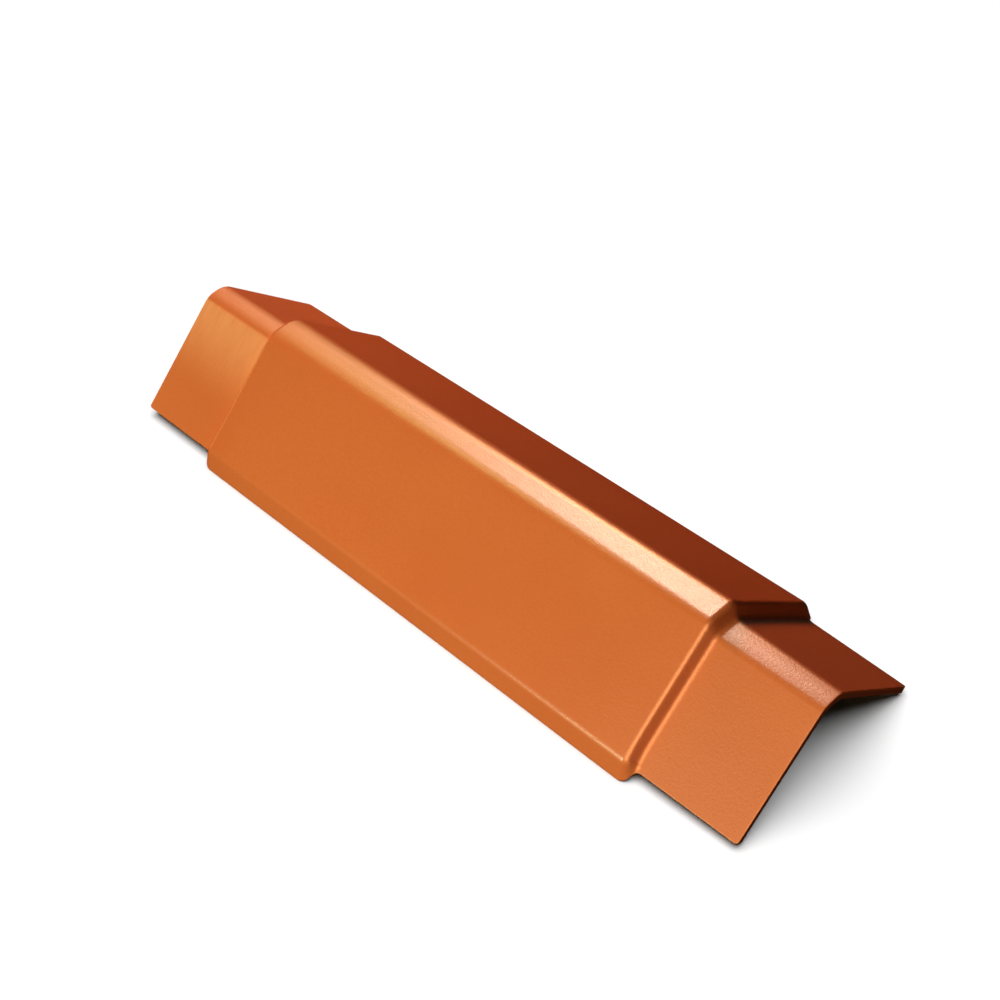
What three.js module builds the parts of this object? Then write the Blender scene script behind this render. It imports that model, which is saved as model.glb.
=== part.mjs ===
import * as THREE from "three";

// A decorative ridge tile moulded from one sheet of fibre cement, folded over the ridge like a tent.
// Millimetres. X runs along the ridge, Y across it, and the tile stands on its two lips at z = 0.

// Whole tile
const tileLength = 600;
const sheetThickness = 5;
const flankSlope = THREE.MathUtils.degToRad(40.35); // fall of both flanks below level

// Tongues, the two low ends
const tongueFlankLength = 111.3; // down one flank, from where the two flanks would meet
const leftTongueCrownWidth = 15.8; // level strip along the ridge, between its sharp edges
const leftTongueCrownRadius = 18; // rounding of those edges
const rightTongueCrownWidth = 20.5;
const rightTongueCrownRadius = 8;
const rightTongueFall = 3.2; // the right tongue sinks this much toward its end, square to the flank

// Raised panel between the tongues
const panelLength = 429.5; // along the ridge, at the panel's own surface
const panelRaise = 9.4; // above the tongues, square to the flank
const panelCrownWidth = 22.4;
const panelLeftCrownRadius = 26; // the crown is rounder at the panel's left end
const panelRightCrownRadius = 11;
const creaseDistance = 109; // down the flank to where the lip bends off it
const creaseRadius = 9;
const lipDrop = 17.1; // from the sharp crease down to the foot of the lip
const lipLean = THREE.MathUtils.degToRad(14); // outward, from upright

// Steps between the panel and the tongues
const stepRun = 4.3; // along the ridge, over the height of the step
const stepTopRadius = 4.5;
const stepBaseRadius = 4.5;
const lipCornerRadius = 8; // where the foot of the lip turns up into the step
const lipSpread = 2.5; // the foot of the lip reaches this much further along the ridge
const insideCornerRadius = 1.5;

// Facets
const crownEdgeFacets = 5;
const creaseFacets = 5;
const stepFacets = 4;
const closestSections = 0.5; // sections along the ridge nearer than this are merged

const lipAngle = Math.PI / 2 - lipLean; // fall of the lip below level
const creaseTurn = lipAngle - flankSlope;
const creaseHeight = lipDrop;
const tongueRidgeHeight = creaseHeight
  + creaseDistance * Math.sin(flankSlope)
  - panelRaise * Math.cos(flankSlope);

// A point on a flank: down the slope from the ridge line, then outward square to the flank.
function flankPoint(distance, raise) {
  return [
    distance * Math.cos(flankSlope) + raise * Math.sin(flankSlope),
    tongueRidgeHeight - distance * Math.sin(flankSlope) + raise * Math.cos(flankSlope),
  ];
}

// Rounded edge between the flat crown and the flank, from the flank up to the crown.
function crownEdge(raise, crownWidth, radius) {
  const halfCrown = crownWidth / 2;
  const distance = (halfCrown - raise * Math.sin(flankSlope)) / Math.cos(flankSlope);
  const crownHeight = flankPoint(distance, raise)[1];
  const centreY = halfCrown - radius * Math.tan(flankSlope / 2);
  const points = [];
  for (let facet = crownEdgeFacets; facet >= 0; facet -= 1) {
    const angle = flankSlope * facet / crownEdgeFacets;
    points.push([
      centreY + radius * Math.sin(angle),
      crownHeight - radius + radius * Math.cos(angle),
    ]);
  }
  return points;
}

// The lip and its crease, from the foot up to the flank.
// The depth is measured inward from the outer face, so zero gives the outer face itself.
function lipAndCrease(depth) {
  const middleAngle = (flankSlope + lipAngle) / 2;
  const [sharpY, sharpZ] = flankPoint(creaseDistance, panelRaise);
  const shift = depth / Math.cos(creaseTurn / 2);
  const creaseY = sharpY - shift * Math.sin(middleAngle);
  const creaseZ = sharpZ - shift * Math.cos(middleAngle);
  const radius = creaseRadius - depth;
  const tangent = radius * Math.tan(creaseTurn / 2);
  const centreY = creaseY - tangent * Math.cos(flankSlope) - radius * Math.sin(flankSlope);
  const centreZ = creaseZ + tangent * Math.sin(flankSlope) - radius * Math.cos(flankSlope);
  const points = [[creaseY + creaseZ * Math.tan(lipLean), 0]];
  for (let facet = creaseFacets; facet >= 0; facet -= 1) {
    const angle = flankSlope + creaseTurn * facet / creaseFacets;
    points.push([centreY + radius * Math.sin(angle), centreZ + radius * Math.cos(angle)]);
  }
  return points;
}

// Half of the panel's section at a place along the ridge, from the foot of the lip to the crown.
function panelHalf(depth, x) {
  const along = THREE.MathUtils.clamp(x / panelLength + 0.5, 0, 1);
  const radius = THREE.MathUtils.lerp(panelLeftCrownRadius, panelRightCrownRadius, along);
  const crownWidth = panelCrownWidth - 2 * depth * Math.tan(flankSlope / 2);
  return lipAndCrease(depth).concat(crownEdge(panelRaise - depth, crownWidth, radius - depth));
}

// Half of a tongue's section, with one point for each point of the panel's section.
// The left tongue lies at negative x.
function tongueHalf(depth, fall, x) {
  const lip = lipAndCrease(depth);
  const along = [0];
  for (let index = 1; index < lip.length; index += 1) {
    const [y, z] = lip[index];
    const [lastY, lastZ] = lip[index - 1];
    along.push(along[index - 1] + Math.hypot(y - lastY, z - lastZ));
  }
  const tangent = (creaseRadius - depth) * Math.tan(creaseTurn / 2);
  const bendDistance = creaseDistance - depth * Math.tan(creaseTurn / 2) - tangent;
  const raise = -depth - fall;
  const points = along.map((length) => {
    const share = length / along[lip.length - 1];
    return flankPoint(THREE.MathUtils.lerp(tongueFlankLength, bendDistance, share), raise);
  });
  const fullWidth = x < 0 ? leftTongueCrownWidth : rightTongueCrownWidth;
  const radius = x < 0 ? leftTongueCrownRadius : rightTongueCrownRadius;
  const crownWidth = fullWidth - 2 * (depth + fall) * Math.tan(flankSlope / 2);
  return points.concat(crownEdge(raise, crownWidth, radius - depth));
}

// A half section and its mirror image, running from the near foot over the crown to the far foot.
function wholeSection(half) {
  const near = half.map(([y, z]) => [-y, z]);
  return near.concat([...half].reverse());
}

// How the step falls along the ridge: 1 on the panel, 0 on the tongue, rounded at top and base.
function stepShare(distance, step) {
  const tilt = Math.atan2(step.height, stepRun);
  const topTangent = step.topRadius * Math.tan(tilt / 2);
  const baseTangent = step.baseRadius * Math.tan(tilt / 2);
  const top = step.start;
  const base = step.start + stepRun;
  if (distance <= top - topTangent) {
    return 1;
  }
  if (distance < top + topTangent * Math.cos(tilt)) {
    const run = distance - top + topTangent;
    return (step.height - step.topRadius + Math.sqrt(step.topRadius ** 2 - run ** 2)) / step.height;
  }
  if (distance <= base - baseTangent * Math.cos(tilt)) {
    return 1 - (distance - top) / stepRun;
  }
  if (distance < base + baseTangent) {
    const run = base + baseTangent - distance;
    return (step.baseRadius - Math.sqrt(step.baseRadius ** 2 - run ** 2)) / step.height;
  }
  return 0;
}

// Distances from the middle of the tile where a step's roundings need a section.
function stepSections(step) {
  const tilt = Math.atan2(step.height, stepRun);
  const topStart = step.start - step.topRadius * Math.tan(tilt / 2);
  const baseEnd = step.start + stepRun + step.baseRadius * Math.tan(tilt / 2);
  const distances = [];
  for (let facet = 0; facet <= stepFacets; facet += 1) {
    const angle = tilt * facet / stepFacets;
    distances.push(topStart + step.topRadius * Math.sin(angle));
    distances.push(baseEnd - step.baseRadius * Math.sin(angle));
  }
  return distances;
}

// The step of one face of the sheet, at a point of the section.
// The inner face steps nearer the middle, so that the sheet keeps its thickness.
function stepAt(depth, panelPoint, tonguePoint, lipShare) {
  const height = Math.hypot(panelPoint[0] - tonguePoint[0], panelPoint[1] - tonguePoint[1]);
  const flankTilt = Math.atan2(panelRaise, stepRun);
  const outerTopRadius = THREE.MathUtils.lerp(stepTopRadius, lipCornerRadius, lipShare);
  return {
    height,
    start: panelLength / 2 + lipSpread * lipShare - depth * Math.tan(flankTilt / 2),
    topRadius: Math.max(outerTopRadius - depth, insideCornerRadius),
    baseRadius: depth > 0 ? stepBaseRadius + depth / 2 : stepBaseRadius,
  };
}

// How far a point of the section has turned down into the lip: 1 at its foot, 0 on the flank.
function lipShareOf(index, count) {
  const fromFoot = Math.min(index, count - 1 - index);
  return Math.max(0, 1 - fromFoot / (creaseFacets + 1));
}

// One face of the sheet as a table of points: sections along the ridge, points along each section.
function sheetFace(depth, sections) {
  const fallStart = panelLength / 2 - sheetThickness;
  return sections.map((x) => {
    const panel = wholeSection(panelHalf(depth, x));
    const levelTongue = wholeSection(tongueHalf(depth, 0, x));
    const sunkTongue = wholeSection(tongueHalf(depth, rightTongueFall, x));
    const sunk = Math.max(0, (x - fallStart) / (tileLength / 2 - fallStart));
    return panel.map((panelPoint, index) => {
      const step = stepAt(depth, panelPoint, levelTongue[index], lipShareOf(index, panel.length));
      const share = stepShare(Math.abs(x), step);
      const y = THREE.MathUtils.lerp(
        THREE.MathUtils.lerp(levelTongue[index][0], sunkTongue[index][0], sunk), panelPoint[0], share);
      const z = THREE.MathUtils.lerp(
        THREE.MathUtils.lerp(levelTongue[index][1], sunkTongue[index][1], sunk), panelPoint[1], share);
      return [x, y, z];
    });
  });
}

// Places along the ridge where the tile is cut into sections, the same for both faces.
// They are laid out for the right step and mirrored for the left one.
function ridgeSections() {
  const wanted = [];
  for (const depth of [0, sheetThickness]) {
    const panel = panelHalf(depth, panelLength / 2);
    const tongue = tongueHalf(depth, 0, panelLength / 2);
    wanted.push(...stepSections(stepAt(depth, panel[0], tongue[0], 1)));
    const last = panel.length - 1;
    wanted.push(...stepSections(stepAt(depth, panel[last], tongue[last], 0)));
  }
  wanted.sort((a, b) => a - b);
  const kept = wanted.filter((value, index) => index === 0 || value - wanted[index - 1] > 1e-6);
  const merged = [];
  for (const value of kept) {
    if (merged.length === 0 || value - merged[merged.length - 1] >= closestSections) {
      merged.push(value);
    }
  }
  const right = [...merged, tileLength / 2];
  const left = [...right].reverse().map((value) => -value);
  return left.concat(right);
}

// Both faces of the sheet joined along the feet and across the two ends.
function tileGeometry() {
  const sections = ridgeSections();
  const outer = sheetFace(0, sections);
  const inner = sheetFace(sheetThickness, sections);
  const rows = outer[0].length;
  const lastSection = sections.length - 1;
  const positions = [];
  for (const face of [outer, inner]) {
    for (const section of face) {
      for (const point of section) {
        positions.push(...point);
      }
    }
  }
  const outerAt = (section, row) => section * rows + row;
  const innerAt = (section, row) => (sections.length + section) * rows + row;
  const triangles = [];
  const quad = (a, b, c, d) => {
    triangles.push(a, b, c, a, c, d);
  };
  for (let section = 0; section < lastSection; section += 1) {
    const next = section + 1;
    for (let row = 0; row < rows - 1; row += 1) {
      quad(outerAt(section, row), outerAt(next, row), outerAt(next, row + 1), outerAt(section, row + 1));
      quad(innerAt(section, row), innerAt(section, row + 1), innerAt(next, row + 1), innerAt(next, row));
    }
    quad(outerAt(section, 0), innerAt(section, 0), innerAt(next, 0), outerAt(next, 0));
    const far = rows - 1;
    quad(outerAt(section, far), outerAt(next, far), innerAt(next, far), innerAt(section, far));
  }
  for (let row = 0; row < rows - 1; row += 1) {
    quad(outerAt(0, row), outerAt(0, row + 1), innerAt(0, row + 1), innerAt(0, row));
    quad(
      outerAt(lastSection, row), innerAt(lastSection, row),
      innerAt(lastSection, row + 1), outerAt(lastSection, row + 1));
  }
  const geometry = new THREE.BufferGeometry();
  geometry.setAttribute("position", new THREE.Float32BufferAttribute(positions, 3));
  geometry.setIndex(triangles);
  geometry.computeVertexNormals();
  return geometry;
}

const orangePaint = new THREE.MeshStandardMaterial({ color: 0xcd6b32, roughness: 0.45, metalness: 0 });

const ridgeTile = new THREE.Mesh(tileGeometry(), orangePaint);
ridgeTile.name = "ridge_tile";

const group = new THREE.Group();
group.name = "decorative_ridge_tile";
group.add(ridgeTile);

export default group;
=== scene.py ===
import bpy
import numpy as np
from math import radians, sin, cos, tan, atan2
from mathutils import Matrix, Vector


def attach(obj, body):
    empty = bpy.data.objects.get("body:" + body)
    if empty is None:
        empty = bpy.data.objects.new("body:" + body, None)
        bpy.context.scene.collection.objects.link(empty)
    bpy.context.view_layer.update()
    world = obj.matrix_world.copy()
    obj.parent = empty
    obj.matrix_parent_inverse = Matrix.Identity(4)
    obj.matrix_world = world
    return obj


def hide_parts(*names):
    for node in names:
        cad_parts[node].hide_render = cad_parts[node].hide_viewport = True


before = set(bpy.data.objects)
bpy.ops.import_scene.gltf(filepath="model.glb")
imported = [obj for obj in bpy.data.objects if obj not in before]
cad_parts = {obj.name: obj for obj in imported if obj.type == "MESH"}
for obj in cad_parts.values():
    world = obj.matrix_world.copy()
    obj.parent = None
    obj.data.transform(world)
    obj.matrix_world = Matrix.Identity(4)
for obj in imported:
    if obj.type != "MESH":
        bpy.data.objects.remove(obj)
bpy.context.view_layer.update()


# A shader socket that is added, multiplied and compared like a number.
class Wire:
    def __init__(self, tree, socket):
        self.tree = tree
        self.socket = socket

    def maths(self, operation, first, second=0.0):
        return self.tree.node("ShaderNodeMath", {"operation": operation}, {0: first, 1: second})

    def __add__(self, other):
        return self.maths("ADD", self, other)

    def __radd__(self, other):
        return self.maths("ADD", other, self)

    def __sub__(self, other):
        return self.maths("SUBTRACT", self, other)

    def __rsub__(self, other):
        return self.maths("SUBTRACT", other, self)

    def __mul__(self, other):
        return self.maths("MULTIPLY", self, other)

    def __rmul__(self, other):
        return self.maths("MULTIPLY", other, self)

    def __lt__(self, other):
        return self.maths("LESS_THAN", self, other)

    def absolute(self):
        return self.maths("ABSOLUTE", self)

    # 0 below low, 1 above high, smooth in between
    def ramped(self, low, high):
        settings = {"interpolation_type": "SMOOTHSTEP"}
        return self.tree.node("ShaderNodeMapRange", settings, {0: self, 1: low, 2: high, 3: 0.0, 4: 1.0})

    # another output of the same node
    def beside(self, output):
        return Wire(self.tree, self.socket.node.outputs[output])


# The nodes of one material or world.
class Tree:
    def __init__(self, nodeTree):
        self.nodeTree = nodeTree
        nodeTree.nodes.clear()

    # one node: its type, its settings, then the values or links of its sockets
    def node(self, kind, settings=None, sockets=None, output=0):
        node = self.nodeTree.nodes.new(kind)
        for name, value in (settings or {}).items():
            setattr(node, name, value)
        for key, value in (sockets or {}).items():
            if isinstance(value, Wire):
                self.nodeTree.links.new(value.socket, node.inputs[key])
            else:
                node.inputs[key].default_value = value
        return Wire(self, node.outputs[output]) if node.outputs else None

    # colours mixed: share 0 gives the first, 1 the second
    def blend(self, share, first, second):
        return self.node("ShaderNodeMix", {"data_type": "RGBA"}, {0: share, 6: first, 7: second}, 2)

    def noise(self, place, scale, detail, roughness=0.5):
        return self.node("ShaderNodeTexNoise", {}, {
            "Vector": place, "Scale": scale, "Detail": detail, "Roughness": roughness})


# ridge tile: sizes in millimetres, angles in degrees
ridgeTile = {
    "length": 600.0,
    "sheet": 5.0,
    "slope": 40.35,
    "tongueFlank": 111.3,
    "tongueLeftCrown": 15.8,
    "tongueRightCrown": 20.5,
    "tongueLeftCrownRadius": 18.0,
    "tongueRightCrownRadius": 8.0,
    "tongueRightBulge": 0.8,
    "rightTongueFall": 3.2,
    "panelLength": 429.5,
    "panelRaise": 9.4,
    "panelCrown": 22.4,
    "panelLeftCrownRadius": 26.0,
    "panelRightCrownRadius": 11.0,
    "creaseDistance": 109.0,
    "creaseRadius": 9.0,
    "lipDrop": 17.1,
    "lipLean": 14.0,
    "stepRun": 4.3,
    "stepTopRadius": 4.5,
    "stepBaseRadius": 4.5,
    "lipCornerRadius": 8.0,
    "lipSpread": 2.5,
    # what is left of the lip's wider corner at the crease and at the flank, and how far up the flank it goes
    "lipShareAtCrease": 0.7,
    "lipShareAtFlank": 0.35,
    "lipShareFade": 0.16,
    "insideCornerRadius": 1.5,
    "rimRadius": 0.4,
    "tongueCornerRadius": 2.5,
    # slow waves in the sheet: their height, and each one's lengths along and across, starts and share
    "waviness": 0.10,
    "waves": ((47, 31, 1.3, np.pi / 2, 1.0), (23, 19, -0.4, 0.7, 0.6)),
    "waveFadeHeight": 40.0,
    "waveEndMargin": 0.1,
}

# how finely the sheet is divided: shares of each stretch of a section, or counts of points on it
divisions = {
    "lip": (0.17, 0.24, 0.34, 0.46, 0.6, 0.76, 0.9),
    "crease": 11,
    "flank": 30,
    "flankMargin": 0.03,
    "flankEdge": 0.006,
    "crownArc": 14,
    "crownFlat": (0.12, 0.45, 0.8, 1.0),
    "footRim": 6,
    "endRim": 7,
    # along the right half of the ridge: where each stretch ends, and its steps up to the rounded end
    "ridge": ((200, 45), (208, 4), (226, 40), (292, 20)),
    "ridgeEnd": 5,
}

millimetre = 0.001
slope = radians(ridgeTile["slope"])
lipLean = radians(ridgeTile["lipLean"])
lipAngle = radians(90) - lipLean
creaseTurn = lipAngle - slope
halfLength = ridgeTile["length"] / 2
tongueRidgeHeight = (ridgeTile["lipDrop"] + ridgeTile["creaseDistance"] * sin(slope)
                     - ridgeTile["panelRaise"] * cos(slope))


# first + (second - first) times the share
def between(first, second, share):
    return first + (second - first) * share


# y = distance cos(slope) + raise sin(slope), z = ridge height - distance sin(slope) + raise cos(slope)
def flankPoint(distance, raised):
    return (distance * cos(slope) + raised * sin(slope),
            tongueRidgeHeight - distance * sin(slope) + raised * cos(slope))


# The sharp crease of the face that lies the depth inside the outer one: the outer crease, moved inward by
# depth / cos(half the crease's turn) along the line that halves the bend.
def creasePoint(depth):
    sharpY, sharpZ = flankPoint(ridgeTile["creaseDistance"], ridgeTile["panelRaise"])
    middle = (slope + lipAngle) / 2
    shift = depth / cos(creaseTurn / 2)
    return sharpY - shift * sin(middle), sharpZ - shift * cos(middle)


# An arc from the flank up to the level crown, then straight on to the ridge line.
# The arc turns through the slope's angle about a centre radius below the crown.
# A bulge lifts the crown by its height times (1 - (y / reach) squared) squared, where the reach is the y at
# which the arc starts.
def crownPoints(raised, width, radius, arc, flat, bulge=0.0):
    half = width / 2
    height = flankPoint((half - raised * sin(slope)) / cos(slope), raised)[1]
    centre = half - radius * tan(slope / 2)
    angle = slope * (1 - arc)
    arcY, arcZ = centre + radius * np.sin(angle), height - radius + radius * np.cos(angle)
    flatY, flatZ = centre * (1 - flat), height + 0 * centre * flat
    reach = centre + radius * sin(slope)
    arcZ = arcZ + bulge * (1 - (arcY / reach) ** 2) ** 2
    flatZ = flatZ + bulge * (1 - (flatY / reach) ** 2) ** 2
    return (arcY, arcZ), (flatY, flatZ)


# The stations of half a section, from the foot to the ridge: five stretches, each a column of shares.
def sectionStations():
    margin, edge = divisions["flankMargin"], divisions["flankEdge"]
    lip = np.array(divisions["lip"])
    crease = np.linspace(0, 1, divisions["crease"])
    flank = np.concatenate([[edge], np.linspace(margin, 1 - margin, divisions["flank"]), [1 - edge]])
    arc = np.linspace(0, 1, divisions["crownArc"])
    flat = np.array(divisions["crownFlat"])
    return [part[:, None] for part in (lip, crease, flank, arc, flat)]


# Stretches of y and z put end to end: one array of y and one of z.
def joined(parts):
    return [np.concatenate([part[axis] for part in parts]) for axis in (0, 1)]


# Panel: the lip runs straight from the foot to the crease, the crease is an arc of its radius less the
# depth, the flank is straight, and the crown closes it, rounder towards the left end.
def panelSection(depth, x):
    lip, crease, flank, arc, flat = sectionStations()
    creaseY, creaseZ = creasePoint(depth)
    radius = ridgeTile["creaseRadius"] - depth
    tangent = radius * tan(creaseTurn / 2)
    centreY = creaseY - tangent * cos(slope) - radius * sin(slope)
    centreZ = creaseZ + tangent * sin(slope) - radius * cos(slope)
    footY, footZ = creaseY + creaseZ * tan(lipLean), 0 * creaseZ
    angle = lipAngle - creaseTurn * crease
    creasePart = centreY + radius * np.sin(angle), centreZ + radius * np.cos(angle)
    topY, topZ = centreY + radius * sin(lipAngle), centreZ + radius * cos(lipAngle)
    lipPart = between(footY, topY, lip), between(footZ, topZ, lip)
    along = np.clip(x / ridgeTile["panelLength"] + 0.5, 0, 1)
    crownRadius = between(ridgeTile["panelLeftCrownRadius"], ridgeTile["panelRightCrownRadius"], along)
    arcPart, flatPart = crownPoints(
        ridgeTile["panelRaise"] - depth, ridgeTile["panelCrown"] - 2 * depth * tan(slope / 2),
        crownRadius - depth, arc, flat)
    startY, startZ = centreY + radius * sin(slope), centreZ + radius * cos(slope)
    flankPart = between(startY, arcPart[0][:1], flank), between(startZ, arcPart[1][:1], flank)
    return joined([lipPart, creasePart, flankPart, arcPart, flatPart])


# Tongue: one straight flank; the lip's and crease's stations lie along it by their length on the panel.
# The lowest station stays just clear of the rounded foot.
def tongueSection(depth, fall, x):
    lip, crease, flank, arc, flat = sectionStations()
    radius = ridgeTile["creaseRadius"] - depth
    tangent = radius * tan(creaseTurn / 2)
    bend = ridgeTile["creaseDistance"] - depth * tan(creaseTurn / 2) - tangent
    lipLength = creasePoint(depth)[1] / cos(lipLean) - tangent
    arcLength = radius * creaseTurn
    raised = -depth - fall
    along = np.concatenate([lip * lipLength, lipLength + crease * arcLength]) / (lipLength + arcLength)
    lowest = ridgeTile["tongueFlank"] - 1.1 * ridgeTile["rimRadius"]
    lowPart = flankPoint(between(lowest, bend, along), raised)
    toRight = np.where(x < 0, 0.0, 1.0)
    width = between(ridgeTile["tongueLeftCrown"], ridgeTile["tongueRightCrown"], toRight)
    crownRadius = between(ridgeTile["tongueLeftCrownRadius"], ridgeTile["tongueRightCrownRadius"], toRight)
    arcPart, flatPart = crownPoints(
        raised, width - 2 * (depth + fall) * tan(slope / 2),
        crownRadius - depth, arc, flat, ridgeTile["tongueRightBulge"] * toRight)
    startY, startZ = flankPoint(bend, raised)
    flankPart = between(startY, arcPart[0][:1], flank), between(startZ, arcPart[1][:1], flank)
    return joined([lowPart, flankPart, arcPart, flatPart])


# Step along the ridge: 1 on the panel, then an arc down, a straight fall, an arc out, and 0 on the tongue.
# An arc of radius r drops by r - root(r squared - way squared), as a share of the step's height.
def stepShare(distance, height, start, topRadius, baseRadius):
    run = ridgeTile["stepRun"]
    tilt = np.arctan2(height, run)
    topTangent, baseTangent = topRadius * np.tan(tilt / 2), baseRadius * np.tan(tilt / 2)
    fromTop = np.clip(distance - start + topTangent, 0, topRadius)
    toBase = np.clip(start + run + baseTangent - distance, 0, baseRadius)
    roundTop = (height - topRadius + np.sqrt(topRadius ** 2 - fromTop ** 2)) / height
    roundBase = (baseRadius - np.sqrt(baseRadius ** 2 - toBase ** 2)) / height
    share = 1 - (distance - start) / run
    share = np.where(distance < start + topTangent * np.cos(tilt), roundTop, share)
    share = np.where(distance <= start - topTangent, 1.0, share)
    share = np.where(distance > start + run - baseTangent * np.cos(tilt), roundBase, share)
    return np.where(distance >= start + run + baseTangent, 0.0, share)


# The panel's points and the tongue's, blended by the step at each place x. The lip share moves the step out
# and rounds its top more: 1 at the lip's foot, 0 on the flank. The tongue sinks evenly towards the end.
def stepped(depth, x, panel, level, sunk, lipShare):
    height = np.hypot(panel[0] - level[0], panel[1] - level[1])
    flankTilt = atan2(ridgeTile["panelRaise"], ridgeTile["stepRun"])
    start = ridgeTile["panelLength"] / 2 + ridgeTile["lipSpread"] * lipShare - depth * tan(flankTilt / 2)
    outerRadius = between(ridgeTile["stepTopRadius"], ridgeTile["lipCornerRadius"], lipShare)
    topRadius = np.maximum(outerRadius - depth, ridgeTile["insideCornerRadius"])
    share = stepShare(np.abs(x), height, start, topRadius, ridgeTile["stepBaseRadius"] + depth / 2)
    fallStart = ridgeTile["panelLength"] / 2 - ridgeTile["sheet"]
    fall = np.maximum(0, (x - fallStart) / (halfLength - fallStart))
    return [between(between(level[axis], sunk[axis], fall), panel[axis], share) for axis in (0, 1)]


# Half of one face of the sheet, from just above the foot to the ridge. The lip share falls with the square
# of the way up the lip, evenly over the crease, and then with the square of what is left of its fade.
def halfFace(depth, x):
    lip, crease, flank, arc, flat = sectionStations()
    atCrease, atFlank = ridgeTile["lipShareAtCrease"], ridgeTile["lipShareAtFlank"]
    lowFlank = atFlank * np.clip(1 - flank / ridgeTile["lipShareFade"], 0, 1) ** 2
    lipShare = np.concatenate([
        between(1.0, atCrease, lip ** 2), between(atCrease, atFlank, crease), lowFlank, 0 * arc, 0 * flat])
    level = tongueSection(depth, 0.0, x)
    sunk = tongueSection(depth, ridgeTile["rightTongueFall"], x)
    return stepped(depth, x, panelSection(depth, x), level, sunk, lipShare)


# The foot line itself: the lip's foot on the panel, the flank's end on the tongues.
def footLine(depth, x):
    creaseY, creaseZ = creasePoint(depth)
    panel = creaseY + creaseZ * tan(lipLean), 0 * depth
    level = flankPoint(ridgeTile["tongueFlank"], -depth)
    sunk = flankPoint(ridgeTile["tongueFlank"], -depth - ridgeTile["rightTongueFall"])
    return stepped(depth, x, panel, level, sunk, 1.0)


# Places along the ridge: close together at the steps, and closest where the cut ends are rounded.
# With each place goes the part of the half thickness left there: 1 on the sheet, 0 at the cut end's middle.
# On a rounded end, x = the end - rim + rim sin(turn), and the half thickness loses rim - rim cos(turn).
def ridgePlaces():
    rim, half = ridgeTile["rimRadius"], ridgeTile["sheet"] / 2
    turn = np.linspace(0, radians(90), divisions["endRim"])
    endX = halfLength - rim + rim * np.sin(turn)
    endShare = (half - rim + rim * np.cos(turn)) / half
    stretches = []
    start = 0
    for end, steps in divisions["ridge"] + ((halfLength - rim, divisions["ridgeEnd"]),):
        stretches.append(np.linspace(start, end, steps, endpoint=False))
        start = end
    inner = np.concatenate(stretches)
    right = np.concatenate([inner, endX, [halfLength]])
    share = np.concatenate([np.ones(len(inner)), endShare, [0.0]])
    return np.concatenate([-right[:0:-1], right]), np.concatenate([share[:0:-1], share])


# One shell of the sheet, outer or inner, as a grid: stations across the ridge by places along it.
# The rounded foot and the rounded ends narrow the sheet's half thickness to nothing at their middle line,
# where the outer and the inner shell meet. The foot's rows rise from the foot line towards the first station
# by rim - rim sin(turn), and the half thickness loses rim - rim cos(turn) there.
def shell(inside):
    placeX, endShare = ridgePlaces()
    rim, half = ridgeTile["rimRadius"], ridgeTile["sheet"] / 2
    turn = np.linspace(radians(90), 0, divisions["footRim"])
    footRise = np.concatenate([[0.0], rim - rim * np.sin(turn)])
    footShare = np.concatenate([[0.0], (half - rim + rim * np.cos(turn)) / half])
    stations = sum(len(part) for part in sectionStations())
    footRows = len(footRise)
    acrossShare = np.concatenate([footShare, np.ones(stations)])[:, None]
    side = 1 if inside else -1
    depth = half + side * half * acrossShare * endShare[None, :]
    x = np.broadcast_to(placeX[None, :], depth.shape).copy()
    y, z = halfFace(depth[-1:], x[-1:])
    footY, footZ = footLine(depth[:footRows], x[:footRows])
    upY, upZ = y[:1] - footY[-1:], z[:1] - footZ[-1:]
    rise = footRise[:, None] / np.hypot(upY, upZ)
    y = np.concatenate([footY + rise * upY, y])
    z = np.concatenate([footZ + rise * upZ, z])
    return x, y, z, depth


# Rounds the two lower corners of each tongue, seen square to the flank. In a corner square with sides of the
# radius, a is the way to the end and b the way to the foot: a becomes a times the root of
# (1 - b squared / 2), and b likewise with a, which turns the square into a quarter disc.
def roundCorners(x, y, z):
    radius = ridgeTile["tongueCornerRadius"]
    fromFlankTop = y * cos(slope) - (z - tongueRidgeHeight) * sin(slope)
    toEnd = np.clip((np.abs(x) - halfLength + radius) / radius, 0, 1)
    toFoot = np.clip((fromFlankTop - ridgeTile["tongueFlank"] + radius) / radius, 0, 1)
    endBack = radius * toEnd * (1 - np.sqrt(1 - toFoot ** 2 / 2))
    footBack = radius * toFoot * (1 - np.sqrt(1 - toEnd ** 2 / 2))
    return x - np.sign(x) * endBack, y - footBack * cos(slope), z + footBack * sin(slope)


# A moulded sheet is never quite flat: z rises by the waviness times the sum of each wave's
# share sin(x / length + start) sin(y / length + start), gone at the feet and at the cut ends.
def waved(x, y, z):
    wave = 0
    for lengthX, lengthY, startX, startY, share in ridgeTile["waves"]:
        wave = wave + share * np.sin(x / lengthX + startX) * np.sin(y / lengthY + startY)
    fade = np.clip(z / ridgeTile["waveFadeHeight"], 0, 1)
    clearOfEnds = np.abs(x) < halfLength - ridgeTile["waveEndMargin"]
    return z + ridgeTile["waviness"] * wave * fade * clearOfEnds


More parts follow.
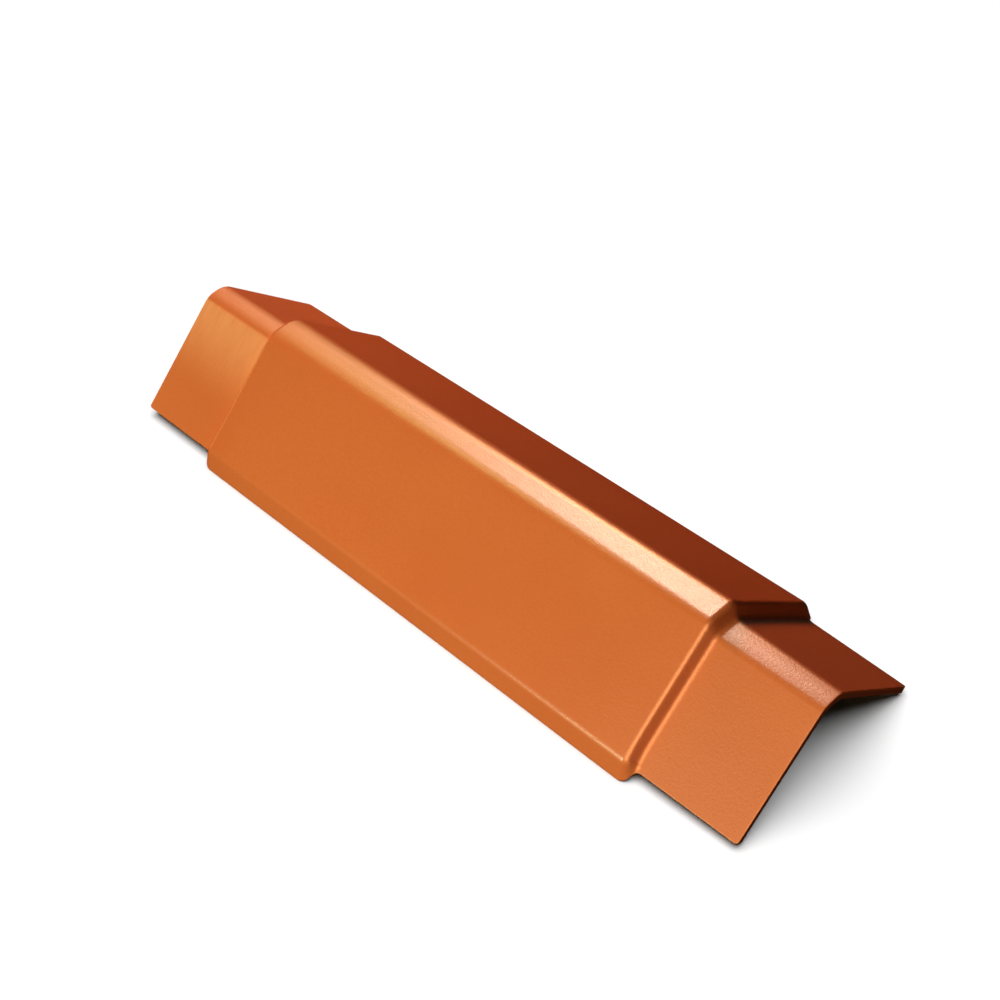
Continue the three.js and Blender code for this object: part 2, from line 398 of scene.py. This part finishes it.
# The whole tile: both shells, each mirrored over the ridge, joined along the feet and the two ends.
def buildTile():
    shells = []
    for inside in (False, True):
        x, y, z, depth = shell(inside)
        x, y, z = roundCorners(x, y, z)
        z = waved(x, y, z)
        grid = np.stack([x, -y, z, depth], -1)
        mirrored = np.stack([x, y, z, depth], -1)[-2::-1]
        shells.append(np.concatenate([grid, mirrored]))
    rows, columns = shells[0].shape[:2]
    points = np.concatenate([grid.reshape(-1, 4) for grid in shells])
    number = np.arange(rows * columns).reshape(rows, columns)
    innerNumber = number + rows * columns
    # at each corner of the sheet three points of the middle line fall together, and are made one
    for row, nextRow in ((0, 1), (-1, -2)):
        for column, nextColumn in ((0, 1), (-1, -2)):
            number[row, nextColumn] = number[nextRow, column] = number[row, column]
    innerNumber[0], innerNumber[-1] = number[0], number[-1]
    innerNumber[:, 0], innerNumber[:, -1] = number[:, 0], number[:, -1]
    quads = []
    for grid, outward in ((number, True), (innerNumber, False)):
        corners = grid[:-1, :-1], grid[:-1, 1:], grid[1:, 1:], grid[1:, :-1]
        quads.append(np.stack(corners if outward else corners[::-1], -1).reshape(-1, 4))
    quads = np.concatenate(quads)
    # a quad with a corner twice has no face left
    quads = quads[np.all(np.diff(np.sort(quads, axis=1), axis=1) > 0, axis=1)]
    used = np.unique(quads)
    renumber = np.zeros(len(points), int)
    renumber[used] = np.arange(len(used))
    return points[used, :3] * millimetre, renumber[quads], points[used, 3]


# A mesh of quads that also carries how deep in the sheet each point lies: 0 outside, 1 inside.
def meshPiece(name, points, quads, depths):
    mesh = bpy.data.meshes.new(name)
    mesh.vertices.add(len(points))
    mesh.vertices.foreach_set("co", points.ravel())
    mesh.loops.add(quads.size)
    mesh.loops.foreach_set("vertex_index", quads.ravel())
    mesh.polygons.add(len(quads))
    mesh.polygons.foreach_set("loop_start", np.arange(0, quads.size, 4))
    mesh.polygons.foreach_set("use_smooth", np.ones(len(quads), bool))
    depthInSheet = mesh.attributes.new("depthInSheet", "FLOAT", "POINT")
    depthInSheet.data.foreach_set("value", depths / ridgeTile["sheet"])
    mesh.update(calc_edges=True)
    mesh.validate()
    piece = bpy.data.objects.new(name, mesh)
    bpy.context.scene.collection.objects.link(piece)
    return piece


points, quads, depths = buildTile()
tile = meshPiece("mouldedTile", points, quads, depths)
print("tile:", len(points), "points,", len(quads) * 2, "triangles")

# paint and bare sheet: lengths in metres, each pair is where something starts and where it is full
paint = {
    "colour": (0.600, 0.140, 0.030, 1),
    "roughness": 0.33,
    "tongueDulling": 0.06,
    "tongueStart": (0.213, 0.220),
    # darker clouds over the whole tile
    "darkColour": (0.570, 0.125, 0.026, 1),
    "cloudScale": 9.0,
    "cloudRange": (0.35, 0.75),
    # fine grain, in colour, roughness and height
    "grainColour": (0.540, 0.112, 0.023, 1),
    "grainScale": 620.0,
    "grainRange": (0.35, 0.70),
    "grainStrength": 0.5,
    "grainRoughness": 0.10,
    "speckScale": 1500.0,
    "grainHeight": 0.7,
    "speckHeight": 0.3,
    "bumpStrength": 0.35,
    "bumpDistance": 0.0005,
    # painted highlight: a lighter band on the near flank of the left tongue, starting just below the crown
    # and fading down the flank, in brush streaks that run down the slope
    "paintedHighlightColour": (0.760, 0.270, 0.085, 1),
    "paintedHighlightStart": (0.0085, 0.0115),
    "paintedHighlightFade": (0.014, 0.062),
    "paintedHighlightStrength": 0.45,
    "streakStrength": 0.9,
    "streakScale": 520.0,
    "streakSqueeze": (1.0, 0.10, 0.10),
    # cut edges and underside, by the depth in the sheet; the cut edges get a darker red-brown, partly the
    # cut edge's own colour and partly painted shade for the end faces that turn away from the lights
    "rimColourAndShade": (0.330, 0.070, 0.020, 1),
    "rimDepth": (0.10, 0.40),
    "bareColour": (0.330, 0.290, 0.250, 1),
    "bareDark": (0.200, 0.170, 0.145, 1),
    "bareRange": (0.3, 0.7),
    "bareDepth": (0.93, 0.99),
    "bareRoughness": 0.5,
}


def paintedSheet():
    material = bpy.data.materials.new("paintedSheet")
    material.use_nodes = True
    tree = Tree(material.node_tree)
    place = tree.node("ShaderNodeTexCoord", output=3)  # object coordinates
    along = tree.node("ShaderNodeSeparateXYZ", {}, {0: place})
    across = along.beside(1)
    depth = tree.node("ShaderNodeAttribute", {"attribute_name": "depthInSheet"}, output=2)
    bare = depth.ramped(*paint["bareDepth"])
    rim = depth.ramped(*paint["rimDepth"])
    clouds = tree.noise(place, paint["cloudScale"], detail=3.0)
    grain = tree.noise(place, paint["grainScale"], detail=2.0, roughness=0.6)
    specks = tree.noise(place, paint["speckScale"], detail=1.0)
    squeezed = tree.node("ShaderNodeMapping", {}, {"Vector": place, "Scale": paint["streakSqueeze"]})
    streaks = tree.noise(squeezed, paint["streakScale"], detail=3.0, roughness=0.6)
    colour = tree.blend(clouds.ramped(*paint["cloudRange"]), paint["colour"], paint["darkColour"])
    grainShare = paint["grainStrength"] * grain.ramped(*paint["grainRange"])
    colour = tree.blend(grainShare, colour, paint["grainColour"])
    # painted highlight on the near flank of the left tongue: lighter just below the crown, fading down,
    # broken into streaks
    onLeftTongue = along < -ridgeTile["panelLength"] / 2 * millimetre
    onNearSide = across < 0
    fromRidge = across.absolute()
    paintedHighlight = onLeftTongue * onNearSide * fromRidge.ramped(*paint["paintedHighlightStart"])
    paintedHighlight = paintedHighlight * (1 - fromRidge.ramped(*paint["paintedHighlightFade"]))
    paintedHighlightShare = paintedHighlight * (paint["paintedHighlightStrength"] + paint["streakStrength"] * streaks)
    colour = tree.blend(paintedHighlightShare, colour, paint["paintedHighlightColour"])
    # darker red-brown on the cut edges: partly the cut edge's own colour, partly painted shade on the end
    # faces
    colour = tree.blend(rim, colour, paint["rimColourAndShade"])
    bareColour = tree.blend(grain.ramped(*paint["bareRange"]), paint["bareColour"], paint["bareDark"])
    colour = tree.blend(bare, colour, bareColour)
    onTongue = along.absolute().ramped(*paint["tongueStart"])
    roughness = paint["roughness"] + paint["tongueDulling"] * onTongue
    roughness = roughness + paint["grainRoughness"] * (grain - 0.5) + paint["bareRoughness"] * bare
    height = paint["grainHeight"] * grain + paint["speckHeight"] * specks
    bump = tree.node("ShaderNodeBump", {}, {
        "Strength": paint["bumpStrength"], "Distance": paint["bumpDistance"], "Height": height})
    shader = tree.node("ShaderNodeBsdfPrincipled", {}, {
        "Base Color": colour, "Roughness": roughness, "Normal": bump})
    tree.node("ShaderNodeOutputMaterial", {}, {"Surface": shader})
    return material


tile.data.materials.append(paintedSheet())
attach(tile, "root")
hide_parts("ridge_tile")
print("paint: done")

# floor, light and camera: metres, watts and degrees
studio = {
    "floorColour": (0.86, 0.86, 0.86, 1),
    "floorReach": 6.0,
    "floorDrop": 0.0002,
    "floorSun": 3.75,
    "floorSunWidth": 62.0,
    "backdrop": (0.97, 0.97, 0.97, 1),
    "boxAim": (0, 0, 0.04),
    "boxDistance": 1.55,
    # each soft box: direction from the tile, width and height, power, colour
    "mattBoxes": {
        "keyLight": ((0.05, -0.87, 0.50), 0.9, 0.6, 29.0, (0.95, 1.00, 0.88)),
        "farFill": ((-0.75, 0.45, 0.48), 0.7, 0.4, 21.5, (1.00, 0.52, 0.46)),
        "rightFill": ((0.95, -0.10, 0.05), 0.7, 0.4, 1.8, (1.00, 0.60, 0.60)),
    },
    "glossBoxes": {
        "backGleam": ((-0.41, 0.52, 0.75), 0.45, 0.45, 12.0, (0.90, 0.84, 0.70)),
        "topGleam": ((-0.25, 0.50, 0.83), 0.30, 0.30, 12.0, (1.00, 0.78, 0.62)),
        "ridgeGleam": ((-0.42, 0.70, 0.58), 0.30, 0.30, 22.0, (1.00, 0.46, 0.19)),
        "leftGleam": ((-0.66, 0.45, 0.60), 0.35, 0.35, 2.4, (0.88, 1.00, 0.20)),
        "farLeftGleam": ((-0.69, 0.66, 0.30), 0.40, 0.40, 1.2, (0.85, 1.00, 0.32)),
        "midGleam": ((-0.55, 0.15, 0.82), 0.40, 0.40, 5.5, (0.96, 1.00, 0.30)),
        "leftEdgeGleam": ((-0.93, -0.30, 0.15), 0.30, 0.30, 1.4, (1.00, 0.75, 0.22)),
        "creaseGleam": ((-0.10, -0.98, 0.12), 0.30, 0.15, 19.0, (1.00, 0.96, 0.56)),
        "stepGleam": ((0.62, -0.60, 0.42), 1.10, 1.10, 46.0, (1.00, 0.62, 0.28)),
    },
    "cameraPlace": (0.62329, -0.52532, 0.84337),
    "cameraAzimuth": 54.785,
    "cameraElevation": 47.781,
    "cameraRoll": -9.388,
    "cameraLens": 58.21,
    "cameraSensor": 36.0,
    "cameraShift": (0.10, 0.10),
}


# A large matt square just below the tile's feet.
def buildFloor():
    far, low = studio["floorReach"], -studio["floorDrop"]
    mesh = bpy.data.meshes.new("floor")
    corners = [(-far, -far, low), (far, -far, low), (far, far, low), (-far, far, low)]
    mesh.from_pydata(corners, [], [(0, 1, 2, 3)])
    floor = bpy.data.objects.new("floor", mesh)
    bpy.context.scene.collection.objects.link(floor)
    material = bpy.data.materials.new("paleFloor")
    material.use_nodes = True
    tree = Tree(material.node_tree)
    shader = tree.node("ShaderNodeBsdfDiffuse", {}, {"Color": studio["floorColour"]})
    tree.node("ShaderNodeOutputMaterial", {}, {"Surface": shader})
    mesh.materials.append(material)
    floor.visible_diffuse = False
    floor.visible_glossy = False
    return floor


# A lamp at its place, shining on one object alone.
def addLamp(name, light, place, target):
    lamp = bpy.data.objects.new(name, light)
    bpy.context.scene.collection.objects.link(lamp)
    lamp.location = place
    lit = bpy.data.collections.new(name + "Lit")
    lit.objects.link(target)
    lamp.light_linking.receiver_collection = lit
    return lamp


# A soft box for the tile: matt boxes light its colour, gloss boxes are seen only as gloss.
def addSoftBox(name, direction, width, height, power, colour, matt):
    light = bpy.data.lights.new(name, "AREA")
    light.shape = "RECTANGLE"
    light.size, light.size_y = width, height
    light.energy = power
    light.color = colour
    away = Vector(direction).normalized()
    lamp = addLamp(name, light, Vector(studio["boxAim"]) + away * studio["boxDistance"], tile)
    lamp.rotation_euler = away.to_track_quat("Z", "Y").to_euler()
    lamp.visible_diffuse, lamp.visible_glossy = matt, not matt


# The floor's own light: a wide soft sun straight above, as bright far away as near the tile.
def addFloorSun(floor):
    light = bpy.data.lights.new("floorSun", "SUN")
    light.energy = studio["floorSun"]
    light.angle = radians(studio["floorSunWidth"])
    addLamp("floorSun", light, (0, 0, studio["boxDistance"]), floor)


# The backdrop is seen by the camera and lights nothing.
def buildWorld():
    world = bpy.data.worlds.new("studio")
    bpy.context.scene.world = world
    world.use_nodes = True
    tree = Tree(world.node_tree)
    seen = tree.node("ShaderNodeLightPath", output=0)
    shader = tree.node("ShaderNodeBackground", {}, {"Color": studio["backdrop"], "Strength": seen})
    tree.node("ShaderNodeOutputWorld", {}, {"Surface": shader})


# Azimuth from the near side towards the right end, elevation above level, then rolled about the view's line.
def buildCamera():
    azimuth, elevation = radians(studio["cameraAzimuth"]), radians(studio["cameraElevation"])
    roll = radians(studio["cameraRoll"])
    back = Vector((sin(azimuth) * cos(elevation), -cos(azimuth) * cos(elevation), sin(elevation)))
    right = Vector((0, 0, 1)).cross(back).normalized()
    up = back.cross(right)
    turnedRight = cos(roll) * right + sin(roll) * up
    turnedUp = -sin(roll) * right + cos(roll) * up
    data = bpy.data.cameras.new("camera")
    data.sensor_width = studio["cameraSensor"]
    data.lens = studio["cameraLens"]
    data.shift_x, data.shift_y = studio["cameraShift"]
    camera = bpy.data.objects.new("camera", data)
    bpy.context.scene.collection.objects.link(camera)
    turn = Matrix((turnedRight, turnedUp, back)).transposed().to_4x4()
    camera.matrix_world = Matrix.Translation(studio["cameraPlace"]) @ turn
    bpy.context.scene.camera = camera


floor = buildFloor()
for name, box in studio["mattBoxes"].items():
    addSoftBox(name, *box, matt=True)
for name, box in studio["glossBoxes"].items():
    addSoftBox(name, *box, matt=False)
addFloorSun(floor)
buildWorld()
buildCamera()
bpy.context.scene.view_settings.view_transform = "Standard"
print("studio: done")
